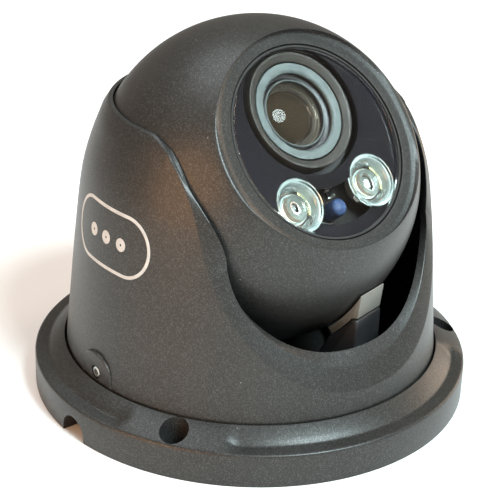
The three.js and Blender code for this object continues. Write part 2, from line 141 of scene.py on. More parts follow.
def finish(name, dark, light, patch=20, grain=0.35, rough=(0.4, 0.5), bump=0.2, depth=0.05,
           metallic=0.0, fleck=None, fleck_share=0.1, coat=0.0, dust=False, shine=0.5):
    """patch, grain and depth in mm. rough is the range that the grain moves the roughness through."""
    material = bpy.data.materials.new(name)
    material.use_nodes = True
    nodes, links = material.node_tree.nodes, material.node_tree.links
    shader = nodes["Principled BSDF"]
    where = nodes.new("ShaderNodeTexCoord").outputs["Object"]

    def pattern(kind, size):
        node = nodes.new(kind)
        node.inputs["Scale"].default_value = 1 / (size * MM)
        links.new(where, node.inputs["Vector"])
        return node

    def steps(source, *stops):
        ramp = nodes.new("ShaderNodeValToRGB")
        elements = ramp.color_ramp.elements
        while len(elements) < len(stops):
            elements.new(0.5)
        for element, (position, colour) in zip(elements, stops):
            element.position = position
            element.color = (*colour, 1)
        links.new(source, ramp.inputs["Fac"])
        return ramp.outputs["Color"]

    def over(base, top, mask):
        mix = nodes.new("ShaderNodeMix")
        mix.data_type = "RGBA"
        links.new(mask, mix.inputs[0])
        links.new(base, mix.inputs[6])
        mix.inputs[7].default_value = (*top, 1)
        return mix.outputs[2]

    colour = steps(pattern("ShaderNodeTexNoise", patch).outputs[0], (0.35, dark), (0.65, light))
    small = pattern("ShaderNodeTexNoise", grain)
    small.inputs["Detail"].default_value = 3
    if fleck:
        cells = pattern("ShaderNodeTexVoronoi", grain)
        edge = 0.72 - fleck_share
        chosen = steps(cells.outputs["Color"], (edge, (0, 0, 0)), (edge + 0.12, (1, 1, 1)))
        colour = over(colour, fleck, chosen)
    if dust:
        specks = pattern("ShaderNodeTexVoronoi", 7)
        near = steps(specks.outputs["Distance"], (0.0, (0.8, 0.8, 0.8)), (0.028, (0, 0, 0)))
        colour = over(colour, (0.55, 0.55, 0.53), near)
    links.new(colour, shader.inputs["Base Color"])
    gloss = nodes.new("ShaderNodeMapRange")
    links.new(small.outputs[0], gloss.inputs["Value"])
    gloss.inputs["From Min"].default_value, gloss.inputs["From Max"].default_value = 0.3, 0.7
    gloss.inputs["To Min"].default_value, gloss.inputs["To Max"].default_value = rough
    links.new(gloss.outputs["Result"], shader.inputs["Roughness"])
    relief = nodes.new("ShaderNodeBump")
    relief.inputs["Strength"].default_value = bump
    relief.inputs["Distance"].default_value = depth * MM
    links.new(small.outputs[0], relief.inputs["Height"])
    links.new(relief.outputs["Normal"], shader.inputs["Normal"])
    shader.inputs["Metallic"].default_value = metallic
    shader.inputs["Specular IOR Level"].default_value = shine
    shader.inputs["Coat Weight"].default_value = coat
    shader.inputs["Coat Roughness"].default_value = 0.06
    return material


# %% [markdown]
# Clear parts bend light, which would leave everything behind them dark, because lamps can't find their
# way through. So lamp rays see plain transparency, and every other ray sees the real glass.

# %% A helper for clear parts


def clear(name, tint, clean, ior):
    material = bpy.data.materials.new(name)
    material.use_nodes = True
    nodes, links = material.node_tree.nodes, material.node_tree.links
    glass = nodes["Principled BSDF"]
    glass.inputs["Transmission Weight"].default_value = 1
    glass.inputs["Roughness"].default_value = 0
    glass.inputs["IOR"].default_value = ior
    haze = nodes.new("ShaderNodeTexNoise")
    haze.inputs["Scale"].default_value = 1 / (9 * MM)
    links.new(nodes.new("ShaderNodeTexCoord").outputs["Object"], haze.inputs["Vector"])
    ramp = nodes.new("ShaderNodeValToRGB")
    ramp.color_ramp.elements[0].color = (*tint, 1)
    ramp.color_ramp.elements[1].color = (*clean, 1)
    links.new(haze.outputs[0], ramp.inputs["Fac"])
    links.new(ramp.outputs["Color"], glass.inputs["Base Color"])
    through = nodes.new("ShaderNodeBsdfTransparent")
    mix = nodes.new("ShaderNodeMixShader")
    links.new(nodes.new("ShaderNodeLightPath").outputs["Is Shadow Ray"], mix.inputs[0])
    links.new(glass.outputs[0], mix.inputs[1])
    links.new(through.outputs[0], mix.inputs[2])
    links.new(mix.outputs[0], nodes["Material Output"].inputs["Surface"])
    return material


# %% The finishes of this camera
powder_coat = finish("graphite powder coat", (0.021, 0.0205, 0.0195), (0.026, 0.0255, 0.024), 30, 0.22,
                     (0.34, 0.46), 0.25, 0.03, 0.4, (0.06, 0.061, 0.06), 0.06, dust=True)
satin_black = finish("satin black moulding", (0.012, 0.012, 0.013), (0.018, 0.018, 0.02), 12, 0.3,
                     (0.38, 0.5), 0.12)
gloss_black = finish("gloss black mask", (0.005, 0.005, 0.006), (0.007, 0.007, 0.009), 15, 1.5,
                     (0.07, 0.09), 0.0, 0.001, shine=0.25)
matt_rubber = finish("matt black rubber", (0.012, 0.012, 0.012), (0.02, 0.02, 0.02), 8, 0.2,
                     (0.7, 0.85), 0.3)
hood_rubber = finish("brown black hood", (0.014, 0.0125, 0.010), (0.018, 0.016, 0.013), 9, 0.25,
                     (0.5, 0.62), 0.1, 0.02, shine=0.35)
bright_steel = finish("plated steel", (0.5, 0.5, 0.5), (0.62, 0.62, 0.6), 3, 0.12, (0.22, 0.4), 0.1,
                      0.02, 1.0)
grey_trim = finish("grey lens trim", (0.052, 0.066, 0.065), (0.067, 0.082, 0.08), 6, 0.15,
                   (0.45, 0.6), 0.1, 0.02, shine=0.35)
pad_grey = finish("stone grey pad", (0.13, 0.125, 0.11), (0.16, 0.155, 0.14), 8, 0.3, (0.45, 0.6), 0.15,
                      0.03)
solder_mask = finish("dark circuit board", (0.007, 0.007, 0.006), (0.010, 0.010, 0.009), 4, 0.3,
                     (0.35, 0.5), 0.15, 0.02, shine=0.2)
phosphor = finish("light-emitting chip", (0.75, 0.62, 0.25), (0.85, 0.75, 0.4), 1.5, 0.1, (0.4, 0.6), 0.2)
# A half-metal cup in a pale colour: partly a mirror, partly a painted reflection of the bright bowl that the
# clear optic's outside shows.
cup_with_painted_reflection = finish("reflector cup, partly painted reflection", (0.2, 0.24, 0.23), (0.33, 0.38, 0.37), 4, 1.5, (0.3, 0.4),
                    0.03, 0.01, 0.5)
blue_sensor = finish("blue light sensor", (0.010, 0.024, 0.065), (0.020, 0.042, 0.1), 1.6, 0.4,
                     (0.5, 0.6), 0.03, 0.01, shine=0.25)
sensor_cover = finish("image sensor cover", (0.02, 0.05, 0.07), (0.03, 0.09, 0.1), 2, 0.2,
                      (0.08, 0.12), 0.02)
nylon = finish("white nylon", (0.7, 0.68, 0.6), (0.8, 0.78, 0.7), 4, 0.3, (0.4, 0.55), 0.15)
pale_ink = finish("pale grey ink", (0.42, 0.43, 0.43), (0.5, 0.51, 0.51), 3, 0.3, (0.5, 0.6), 0.1)
# Opaque dark glass for the inner lens element: partly the coating's own tint, partly painted shade from
# inside the lens.
shaded_dark_lens = finish("dark lens with painted inner shade", (0.009, 0.008, 0.006), (0.013, 0.011, 0.008), 6, 2, (0.06, 0.08),
                   0.0, 0.0005, coat=0.6)
white_floor = finish("white floor", (0.9, 0.9, 0.9), (0.93, 0.93, 0.93), 90, 2, (0.6, 0.7), 0.05)
window_glass = clear("window glass", (0.97, 0.985, 0.985), (1.0, 1.0, 1.0), 1.22)
optic_acrylic = clear("clear acrylic optic", (0.93, 0.97, 0.95), (0.98, 1.0, 0.99), 1.49)
lens_glass = clear("coated front lens", (0.7, 0.62, 0.5), (0.8, 0.72, 0.6), 1.5)
print(len(bpy.data.materials), "finishes")

# %% Lay the floor
floor_mesh = bpy.data.meshes.new("floor")
HALF_FLOOR = 6
corners = [(x * HALF_FLOOR, y * HALF_FLOOR, 0) for x, y in ((-1, -1), (1, -1), (1, 1), (-1, 1))]
floor_mesh.from_pydata(corners, [], [(0, 1, 2, 3)])
floor_mesh.transform(Matrix.Translation((0, 0, cad_box[0].z)))
floor_mesh.materials.append(white_floor)
floor = bpy.data.objects.new("floor", floor_mesh)
bpy.context.scene.collection.objects.link(floor)
print("floor", 2 * HALF_FLOOR, "m across")

# %% [markdown]
# ## Building a skin
# Most parts are turned: a profile swept round an axis. Others are nearly turned, such as the shroud, whose
# rim rises and falls. Both are a list of columns, each a closed loop of points, and a skin is stretched
# over neighbouring columns. A corner of a loop may carry a radius, and is then rounded off.

# %% Helpers for skins


def rounded(loop, steps=3):
    """Each point of loop ends in its corner radius, and 0 leaves the corner sharp."""
    points = [Vector(p[:-1]) for p in loop]
    result = []
    for i, corner in enumerate(points):
        radius = loop[i][-1]
        if not radius:
            result.append(corner)
            continue
        before, after = points[i - 1] - corner, points[(i + 1) % len(points)] - corner
        reach = min(radius, before.length * 0.45, after.length * 0.45)
        start, end = corner + before.normalized() * reach, corner + after.normalized() * reach
        for k in range(steps + 1):
            t = k / steps
            result.append(start * (1 - t) ** 2 + corner * (2 * t * (1 - t)) + end * t * t)
    return result


def tidy(mesh, crease=32):
    """Merge doubles, turn the faces outwards and shade smooth up to the crease angle."""
    bm = bmesh.new()
    bm.from_mesh(mesh)
    bmesh.ops.remove_doubles(bm, verts=bm.verts, dist=2e-6)
    bmesh.ops.delete(bm, geom=[e for e in bm.edges if not e.link_faces], context="EDGES")
    bmesh.ops.recalc_face_normals(bm, faces=bm.faces)
    if bm.calc_volume(signed=True) < 0:
        bmesh.ops.reverse_faces(bm, faces=bm.faces)
    bm.to_mesh(mesh)
    bm.free()
    mesh.shade_smooth()
    mesh.set_sharp_from_angle(angle=math.radians(crease))


def made(name, points, faces, place=Matrix(), crease=32):
    mesh = bpy.data.meshes.new(name)
    mesh.from_pydata([(place @ Vector(p)) * MM for p in points], [], faces)
    tidy(mesh, crease)
    piece = bpy.data.objects.new(name, mesh)
    bpy.context.scene.collection.objects.link(piece)
    return piece


def skinned(name, columns, place=Matrix(), crease=32, round_trip=True):
    """Stretch a skin over loops of points. Without round_trip the first and last loop become caps."""
    rows = len(columns[0])
    points = [p for column in columns for p in column]
    faces = []
    for i in range(len(columns) if round_trip else len(columns) - 1):
        j = (i + 1) % len(columns)
        for k in range(rows):
            m = (k + 1) % rows
            faces.append((i * rows + k, j * rows + k, j * rows + m, i * rows + m))
    if not round_trip:
        faces.append(tuple(range(rows - 1, -1, -1)))
        faces.append(tuple((len(columns) - 1) * rows + k for k in range(rows)))
    return made(name, points, faces, place, crease)


def turned(name, profile, place=Matrix(), facets=128, crease=32):
    """profile is a loop of (radius, height, corner radius)."""
    loop = rounded([(r, 0, z, c) for r, z, c in profile])
    columns = []
    for i in range(facets):
        a = 2 * math.pi * i / facets
        columns.append([(p.x * math.sin(a), -p.x * math.cos(a), p.z) for p in loop])
    return skinned(name, columns, place, crease)


def arc(radius, middle, start, end, steps, corner=0):
    """Points of a circular arc about (0, middle) as (radius, height, corner radius), angles in degrees."""
    result = []
    for i in range(steps + 1):
        a = math.radians(start + (end - start) * i / steps)
        result.append((radius * math.cos(a), middle + radius * math.sin(a), corner))
    return result


def section(inner, outer, low, high, corners=(0, 0, 0, 0)):
    """A ring's square section, its corner radii from low inside, by low and high outside, to high inside."""
    spots = ((inner, low), (outer, low), (outer, high), (inner, high))
    return [(r, z, c) for (r, z), c in zip(spots, corners)]


def rod(radius, low, high, place, facets=40):
    return turned("rod", section(0, radius, low, high), place, facets)


def around(radius, angle):
    """x and y at an angle in degrees, counted from the front towards the right."""
    a = math.radians(angle)
    return radius * math.sin(a), -radius * math.cos(a)


def plain_mesh(piece):
    """Apply the modifiers of a piece and remove them."""
    bpy.context.view_layer.update()
    evaluated = piece.evaluated_get(bpy.context.evaluated_depsgraph_get())
    mesh = bpy.data.meshes.new_from_object(evaluated)
    piece.modifiers.clear()
    piece.data = mesh
    return mesh


def carve(piece, *cutters, operation="DIFFERENCE", crease=32):
    for cutter in cutters:
        modifier = piece.modifiers.new("carve", "BOOLEAN")
        modifier.operation = operation
        modifier.solver = "EXACT"
        modifier.object = cutter
    plain_mesh(piece)
    for cutter in cutters:
        bpy.data.objects.remove(cutter)
    tidy(piece.data, crease)


def softened(piece, width, segments=2, angle=30):
    modifier = piece.modifiers.new("edges", "BEVEL")
    modifier.width = width * MM
    modifier.segments = segments
    modifier.limit_method = "ANGLE"
    modifier.angle_limit = math.radians(angle)
    plain_mesh(piece)
    tidy(piece.data)


def raised(name, outline, low, high, place=Matrix()):
    """A flat outline given thickness from low to high."""
    columns = [[(x, y, z) for x, y in outline] for z in (low, high)]
    return skinned(name, columns, place, round_trip=False)


def fitted(piece, material, body, slot, *nodes):
    """Finish a piece and hand it over: its body and the CAD nodes it stands for. slot is not used."""
    piece.data.materials.clear()
    piece.data.materials.append(material)
    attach(piece, body)
    if nodes:
        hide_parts(*nodes)
    print(piece.name, len(piece.data.polygons), "faces")


# %% [markdown]
# ## Repeats
# Screws and the ribs of knurls stand on circles. One Geometry Nodes tree sets any of them out: a circle of
# points, a copy of the pattern piece on each, turned to face outwards, then made real and given a finish.

# %% A tree that stands copies round a circle


def circle_tree():
    tree = bpy.data.node_groups.new("copies round a circle", "GeometryNodeTree")
    face = tree.interface
    for name, kind in (("Pattern", "NodeSocketObject"), ("Count", "NodeSocketInt"),
                       ("Radius", "NodeSocketFloat"), ("Start", "NodeSocketFloat"),
                       ("Finish", "NodeSocketMaterial")):
        face.new_socket(name=name, in_out="INPUT", socket_type=kind)
    face.new_socket(name="Geometry", in_out="OUTPUT", socket_type="NodeSocketGeometry")
    nodes, links = tree.nodes, tree.links
    given, out = nodes.new("NodeGroupInput"), nodes.new("NodeGroupOutput")
    circle = nodes.new("GeometryNodeMeshCircle")
    info = nodes.new("GeometryNodeObjectInfo")
    stand = nodes.new("GeometryNodeInstanceOnPoints")
    outwards = nodes.new("FunctionNodeAlignRotationToVector")
    outwards.axis, outwards.pivot_axis = "X", "Z"
    where = nodes.new("GeometryNodeInputPosition")
    turn = nodes.new("GeometryNodeTransform")
    angle = nodes.new("ShaderNodeCombineXYZ")
    real, coat = nodes.new("GeometryNodeRealizeInstances"), nodes.new("GeometryNodeSetMaterial")
    links.new(given.outputs["Count"], circle.inputs["Vertices"])
    links.new(given.outputs["Radius"], circle.inputs["Radius"])
    links.new(given.outputs["Pattern"], info.inputs["Object"])
    links.new(where.outputs[0], outwards.inputs["Vector"])
    links.new(circle.outputs["Mesh"], stand.inputs["Points"])
    links.new(info.outputs["Geometry"], stand.inputs["Instance"])
    links.new(outwards.outputs[0], stand.inputs["Rotation"])
    links.new(stand.outputs[0], turn.inputs["Geometry"])
    links.new(given.outputs["Start"], angle.inputs["Z"])
    links.new(angle.outputs[0], turn.inputs["Rotation"])
    links.new(turn.outputs[0], real.inputs[0])
    links.new(real.outputs[0], coat.inputs["Geometry"])
    links.new(given.outputs["Finish"], coat.inputs["Material"])
    links.new(coat.outputs[0], out.inputs[0])
    return tree


copies = circle_tree()


def stood_round(name, pattern, count, radius, start, material, place=Matrix()):
    """Copies of pattern, whose +X faces outwards, round Z of place. Angles run from +X, in degrees."""
    piece = bpy.data.objects.new(name, bpy.data.meshes.new(name))
    bpy.context.scene.collection.objects.link(piece)
    modifier = piece.modifiers.new("copies", "NODES")
    modifier.node_group = copies
    values = {"Pattern": pattern, "Count": count, "Radius": radius * MM, "Start": math.radians(start),
              "Finish": material}
    for item in copies.interface.items_tree:
        if item.in_out == "INPUT":
            modifier[item.identifier] = values[item.name]
    mesh = plain_mesh(piece)
    metres = place.copy()
    metres.translation = place.translation * MM
    mesh.transform(metres)
    tidy(mesh)
    bpy.data.objects.remove(pattern)
    return piece


# %% [markdown]
# ## The flange
# The flange is a shallow cast tray, screwed to the ceiling through three counterbored holes. Its top is a
# low deck and a raised inner ring, and round each hole a pad fills the step up to a plain cone. The
# profile is swept round, and where the angle lies on a pad the step's points rise to the cone.

# %% Sizes of the flange
FLANGE_R, RIM_Z, RIM_IN, RING_R, RING_Z = 69, 10.6, 63.3, 59.5, 15.2
STEP_R, STEP_Z, RISER_R, RISER_Z = 64.8, 11.0, 63.4, 12.3
COLLAR_R, COLLAR_IN, COLLAR_Z, GROOVE_Z = 55.8, 52.6, 24, 17.5
PLATE_TOP, PLATE_LOW, CABLE_R = 10, 7, 10
HOLE_CIRCLE, HOLES = 64, (-60, 60, 180)
PAD_HALF, PAD_SLOPE = 13.5, 2.6  # degrees to each side of a hole
SEAT_CIRCLE, SEAT_SCREWS = 42, (90, 210, 330)  # the screws that hold the ball's bracket
NOTCH_R = 5.25


def deck_profile(pad):
    """pad is 1 on a pad, 0 between pads, and in between on a pad's sloped ends."""
    def height(radius, deck):
        cone = RIM_Z + (FLANGE_R - radius) / (FLANGE_R - RING_R) * (RING_Z - RIM_Z)
        return deck + (cone - deck) * pad

    return [(FLANGE_R, 0, 0.3), (FLANGE_R, RIM_Z, 0.9), (STEP_R, height(STEP_R, STEP_Z), 0.5),
            (RISER_R, height(RISER_R, RISER_Z), 0.6), (RING_R, RING_Z, 0.5), (RING_R, PLATE_TOP, 0.4),
            (COLLAR_R, PLATE_TOP, 0.4), (COLLAR_R, GROOVE_Z - 1.1, 0.1), (COLLAR_R - 1.1, GROOVE_Z, 0.1),
            (COLLAR_R, GROOVE_Z + 1.1, 0.1), (COLLAR_R, COLLAR_Z, 0.4), (COLLAR_IN, COLLAR_Z, 0.4),
            (COLLAR_IN, PLATE_TOP, 0.4), (CABLE_R, PLATE_TOP, 0.3), (CABLE_R, PLATE_LOW, 0.3),
            (RIM_IN, PLATE_LOW, 0.6), (RIM_IN, 0, 0.3)]


def flange():
    columns = []
    angles = [i * 1.5 for i in range(240)]
    for hole in HOLES:
        edges = [(hole + side * (PAD_HALF + more)) % 360 for side in (-1, 1) for more in (0, PAD_SLOPE)]
        angles = [a for a in angles if min(abs(a - e) for e in edges) > 0.4] + edges
    for angle in sorted(angles):
        away = min(abs((angle - hole + 180) % 360 - 180) for hole in HOLES)
        pad = min(max((PAD_HALF + PAD_SLOPE - away) / PAD_SLOPE, 0), 1)
        loop = rounded([(r, 0, z, c) for r, z, c in deck_profile(pad)])
        columns.append([(*around(p.x, angle), p.z) for p in loop])
    return skinned("flange_casting", columns)


def post(radius, low, high, x, y):
    return rod(radius, low, high, Matrix.Translation((x, y, 0)), 48)


# %% Cast the flange and drill it
casting = flange()
carve(casting, *[post(6.0, 0.1, 8.5, *around(HOLE_CIRCLE - 1.2, a)) for a in HOLES], operation="UNION")
carve(casting, *[post(3, -1, 20, *around(HOLE_CIRCLE, a)) for a in HOLES],
      *[post(4.3, 5.5, 20, *around(HOLE_CIRCLE, a)) for a in HOLES],
      *[post(1.8, 0, 14, *around(SEAT_CIRCLE, a)) for a in SEAT_SCREWS])
arch = [(r, z) for r, z, _ in arc(NOTCH_R, 1.55, 0, 180, 16)]
notch = [(NOTCH_R, -1), (NOTCH_R, 1.5)] + arch + [(-NOTCH_R, 1.5), (-NOTCH_R, -1)]
sideways = Matrix.Rotation(math.radians(-90), 4, "Z") @ Matrix.Rotation(math.radians(90), 4, "X")
carve(casting, raised("notch", notch, 60, 72, sideways))
fitted(casting, powder_coat, "base", "body_paint", "base_flange")

# %% [markdown]
# ## Under the ball
# The ball rests on three grey pads, held by a black bracket that is screwed to the floor of the flange.
# One of its arms shows in the dark gap under the ball. The cable enters through a rubber grommet.

# %% Bracket, pads, screws and grommet
tilt = next(joint for joint in frame["joints"] if joint["name"] == "tilt")
BALL_Z, BALL_R, BALL_IN = tilt["pos_m"][2] / MM, 50.4, 46.6
ARM_ANGLES, ARM_HALF, PAD_WIDTH_HALF = (12, 132, 252), 6.5, 6
upright = Matrix.Rotation(math.radians(90), 4, "X")
bracket = turned("seat_bracket_moulding", section(26, 47, 10.3, 13.3, (0.5, 0.5, 0.6, 0.6)))
arm = [(30, 10.5), (44.6, 10.5), (44.6, 35.6)] + [p[:2] for p in arc(53.2, BALL_Z, -37, -50, 8)] + [(31, 20)]
pad = ([(44.4, 36.1), (45.2, 43.6)] + [p[:2] for p in arc(50.7, BALL_Z, -27.5, -48, 14)]
       + [p[:2] for p in arc(52.9, BALL_Z, -48, -37, 8)])
parts = []
for i, angle in enumerate(ARM_ANGLES):
    turn = Matrix.Rotation(math.radians(angle - 90), 4, "Z") @ upright
    parts.append(raised("arm", arm, -ARM_HALF, ARM_HALF, turn))
    softened(parts[-1], 0.8, 3)
    rest = raised(f"ball_rest_{i + 1}", pad, -PAD_WIDTH_HALF, PAD_WIDTH_HALF, turn)
    softened(rest, 0.7, 3)
    fitted(rest, pad_grey, "base", "black_rubber", f"seat_pad_{i + 1}")
carve(bracket, *parts, operation="UNION")
carve(bracket, *[post(1.8, 5, 20, *around(SEAT_CIRCLE, a)) for a in SEAT_SCREWS])
fitted(bracket, satin_black, "base", "black_plastic", "seat_bracket")


def cross_screw(head_r, head_t, shank_r, shank_l):
    """A pan-head screw along Z with a cross recess, its seat at z 0."""
    head = turned("screw", [(0, -shank_l, 0), (shank_r, -shank_l, 0.3), (shank_r, 0, 0), (head_r, 0, 0.1),
                            (head_r, head_t * 0.55, 0.9), (0, head_t, 0)], facets=36)
    for turn in (0, 90):
        half, reach = 0.35, head_r * 0.6
        bar = raised("bar", [(-half, -reach), (half, -reach), (half, reach), (-half, reach)],
                     head_t * 0.4, head_t + 1, Matrix.Rotation(math.radians(turn), 4, "Z"))
        carve(head, bar)
    return head


screws = stood_round("bracket_screws", cross_screw(2.8, 2, 1.4, 6), 3, SEAT_CIRCLE, 0, bright_steel,
                     Matrix.Translation((0, 0, 13.6)))
fitted(screws, bright_steel, "base", "steel_fixings", *[f"bracket_screw_{i}" for i in (1, 2, 3)])
grommet = turned("cable_grommet_moulding",
                 [(3.6, 5.2, 0.6), (12.5, 5.2, 0.5), (12.5, 6.7, 0.4), (9.7, 6.7, 0), (9.7, 10.3, 0),
                  (12.5, 10.3, 0.4), (12.5, 11.8, 0.5), (3.6, 11.8, 0.6)], facets=64)
fitted(grommet, matt_rubber, "base", "black_rubber", "cable_grommet")

# %% [markdown]
# ## The shroud
# The shroud is a cast bell that the ball sits in, with a U-shaped mouth at the front. The mouth's lip is
# bevelled twice: a wide outer facet and a narrow inner one. So the skin is built on three curves, outer
# crease, middle crease and inner edge. Each is a squarish half ellipse that runs straight up at its ends.
# Points at the same share of each curve's length are joined, which gives clean ruled facets.

# %% Walls and curves of the shroud
TOP_Z, FOOT_Z, FOOT_R = 93.3, 10.9, 58.9
FOOT_IN, WALL_IN, SHOULDER_Z, LEDGE_Z = 56.2, 51.5, 24.6, 27.6
OUTER = ((FOOT_R, FOOT_Z), (FOOT_R, 15.2), (57.4, 32), (56, 48), (54.6, 62), (53.9, 68), (52.9, 74),
         (50.1, 83), (47.3, 90), (45.2, TOP_Z))


def outer_r(z):
    for (r0, z0), (r1, z1) in zip(OUTER, OUTER[1:]):
        if z <= z1:
            return r0 + (r1 - r0) * (z - z0) / (z1 - z0)
    return OUTER[-1][0]


def wall_r(z):
    """The outer wall, smoothed between its sections."""
    if not 20 < z < 89:
        return outer_r(z)
    return sum(outer_r(min(max(z + d, 15.3), TOP_Z)) for d in (-4, -2, 0, 2, 4)) / 5


def inner_r(z):
    """Round above, half a millimetre clear of the ball, and straight below."""
    if z > 60:
        return math.sqrt((BALL_R + 0.5) ** 2 - (z - BALL_Z) ** 2)
    return WALL_IN - max(0, z - 56) * 0.16


def bowl(half, spring, drop, square, steps=400):
    """The lower half of a squarish ellipse as (x, z), from left to right."""
    points = []
    for i in range(steps):
        c, s = math.cos(math.pi * i / (steps - 1)), math.sin(math.pi * i / (steps - 1))
        points.append((-half * math.copysign(abs(c) ** (2 / square), c), spring - drop * s ** (2 / square)))
    return points


def mouth_curve(half, drop, spring, square, widen, radius):
    """Points from the left top end, round the bottom, to the right top end."""
    rise = [spring + (TOP_Z - spring) * i / 40 for i in range(40, 0, -1)]
    sides = [(half + widen * (z - spring) / (TOP_Z - spring), z) for z in rise]
    flat = ([(-x, z) for x, z in sides] + bowl(half, spring, drop, square)
            + [(x, z) for x, z in reversed(sides)])
    solid = []
    for x, z in flat:
        r = radius(z)
        x = max(-r * 0.995, min(r * 0.995, x))
        solid.append(Vector((x, -math.sqrt(r * r - x * x), z)))
    return solid


def evenly(points, count):
    """The same curve as count points, evenly spaced along its length."""
    along = [0.0]
    for a, b in zip(points, points[1:]):
        along.append(along[-1] + (b - a).length)
    result, k = [], 0
    for i in range(count):
        target = along[-1] * i / (count - 1)
        while k < len(points) - 2 and along[k + 1] < target:
            k += 1
        share = (target - along[k]) / max(along[k + 1] - along[k], 1e-9)
        result.append(points[k].lerp(points[k + 1], min(share, 1)))
    return result


# %% Cast the shroud
ALONG = 180
outer_lip = evenly(mouth_curve(44.0, 56.0, 77.5, 2.4, 0.6, wall_r), ALONG)
inner_lip = evenly(mouth_curve(42.6, 58.5, 90.3, 2.54, 0.7, inner_r), ALONG)


def mid_radius(z):
    return max(wall_r(z) - 3.0, (wall_r(z) + inner_r(z)) / 2)


def middle_curve(half=37.9, top_half=43.6, spring=61, blend_height=26, steps=60):
    """The middle crease, which swings from half out to top_half above the spring of its bowl."""
    rise = []
    for i in range(steps, 0, -1):
        z = spring + (TOP_Z - spring) * i / steps
        blend = min(max((z - spring) / blend_height, 0), 1)
        blend = blend * blend * (3 - 2 * blend)
        rise.append((half + (top_half - half) * blend, z))
    flat = [(-x, z) for x, z in rise] + bowl(half, spring, 33.2, 1.97) + [(x, z) for x, z in reversed(rise)]
    return [Vector((x, -math.sqrt(max(mid_radius(z) ** 2 - x * x, 1)), z)) for x, z in flat]


middle_lip = evenly(middle_curve(), ALONG)


def direction(p):
    return math.atan2(p.x, -p.y)


def shroud_loop(lip_out, lip_mid, lip_in, turn_out, turn_in, rows=26):
    """One closed column: up the outer wall, over the lip, down the inner wall."""
    loop = []

    def on(radius, z, turn, corner=0.0):
        loop.append((radius * math.sin(turn), -radius * math.cos(turn), z, corner))

    on(FOOT_R, FOOT_Z, turn_out, 0.4)
    for i in range(1, rows):
        z = 13 + (lip_out.z - 13) * (i - 1) / (rows - 1)
        on(wall_r(z), z, turn_out)
    loop.append((*lip_out, 0.9))
    loop.append((*lip_mid, 0.5))
    loop.append((*lip_in, 0.35))
    for i in range(rows - 1, 0, -1):
        z = LEDGE_Z + (lip_in.z - LEDGE_Z) * i / rows
        on(inner_r(z), z, turn_in)
    on(WALL_IN, LEDGE_Z, turn_in, 0.3)
    on(FOOT_IN, SHOULDER_Z, turn_in, 0.3)
    on(FOOT_IN, FOOT_Z, turn_in, 0.3)
    return rounded(loop)


def shroud_casting(back=110):
    """Columns along the mouth, then back columns round the rear, where the top edge is level."""
    lips = (outer_lip, middle_lip, inner_lip)
    columns = [shroud_loop(o, m, n, direction(o), direction(n)) for o, m, n in zip(*lips)]
    ends = [(direction(c[-1]), direction(c[0]) + 2 * math.pi) for c in lips]
    depths = [math.hypot(c[-1].x, c[-1].y) for c in lips]
    for i in range(1, back):
        t = i / back
        turns = [a + (b - a) * t for a, b in ends]
        edge = [Vector((r * math.sin(a), -r * math.cos(a), TOP_Z)) for r, a in zip(depths, turns)]
        columns.append(shroud_loop(*edge, turns[0], turns[2]))
    return columns


shroud_turn = Matrix.Rotation(math.radians(-2.5), 4, "Z")
bell = skinned("shroud_casting", shroud_casting(), shroud_turn, crease=40)
print(len(bell.data.polygons), "faces before drilling")

# %% Lock-screw bosses and the screws in them


BOSS_HALF, BOSS_Z, LOCK_Z = 8, 16.4, 17.5


def boss(side):
    """A raised patch with a round top, wrapped round the wall."""
    dome = [(r, z) for r, z, _ in arc(BOSS_HALF, BOSS_Z, 0, 180, 24)]
    outline = [(BOSS_HALF, FOOT_Z), *dome[:-1], (-BOSS_HALF, BOSS_Z), (-BOSS_HALF, FOOT_Z)]
    columns = []
    for radius in (57.0, 59.2):
        columns.append([(radius * math.cos(x / 58), radius * math.sin(x / 58), z) for x, z in outline])
    lug = skinned("lug", columns, shroud_turn @ Matrix.Rotation(0 if side > 0 else math.pi, 4, "Z"),
                  round_trip=False)
    softened(lug, 0.55, 3, 40)
    return lug


def lock_axis(side):
    return shroud_turn @ Matrix.Translation((0, 0, LOCK_Z)) @ Matrix.Rotation(side * math.pi / 2, 4, "Y")


carve(bell, boss(1), boss(-1), operation="UNION", crease=40)
carve(bell, *[rod(2.1, 54, 62, lock_axis(side)) for side in (1, -1)], crease=40)
fitted(bell, powder_coat, "shroud", "body_paint", "shroud")
for side, word in ((-1, "left"), (1, "right")):
    grub = turned(f"grub_screw_{word}", section(0, 1.75, 56.2, 58.6, (0, 0.2, 0.3, 0)), lock_axis(side), 40)
    carve(grub, rod(1.05, 57.2, 60, lock_axis(side), 6))
    fitted(grub, bright_steel, "shroud", "steel_fixings", f"lock_screw_{word}")

# %% [markdown]
# ## The ball
# Two cast shells make the ball. The front one carries a flat bezel round the window. The bezel's outer
# edge lies on the sphere and sweeps up towards the top and the bottom of the face, so the columns of the
# front shell end at a height that depends on their angle. Its own axes: X right, Y up the face, Z out.

# %% The ball's place and its front shell
FACE_TILT, FACE_ROLL, LENS_V = 37.4, 2.1, 10.5
BEZEL_R, BEZEL_W, BEZEL_SWEEP = 35.8, 35.2, 0.0021
SHELL_SCREW_CIRCLE = 34.8
ball_place = (Matrix.Translation((0, 0, BALL_Z)) @ Matrix.Rotation(math.radians(90 - FACE_TILT), 4, "X")
              @ Matrix.Rotation(math.radians(FACE_ROLL), 4, "Z"))
lens_place = ball_place @ Matrix.Translation((0, LENS_V, 0))


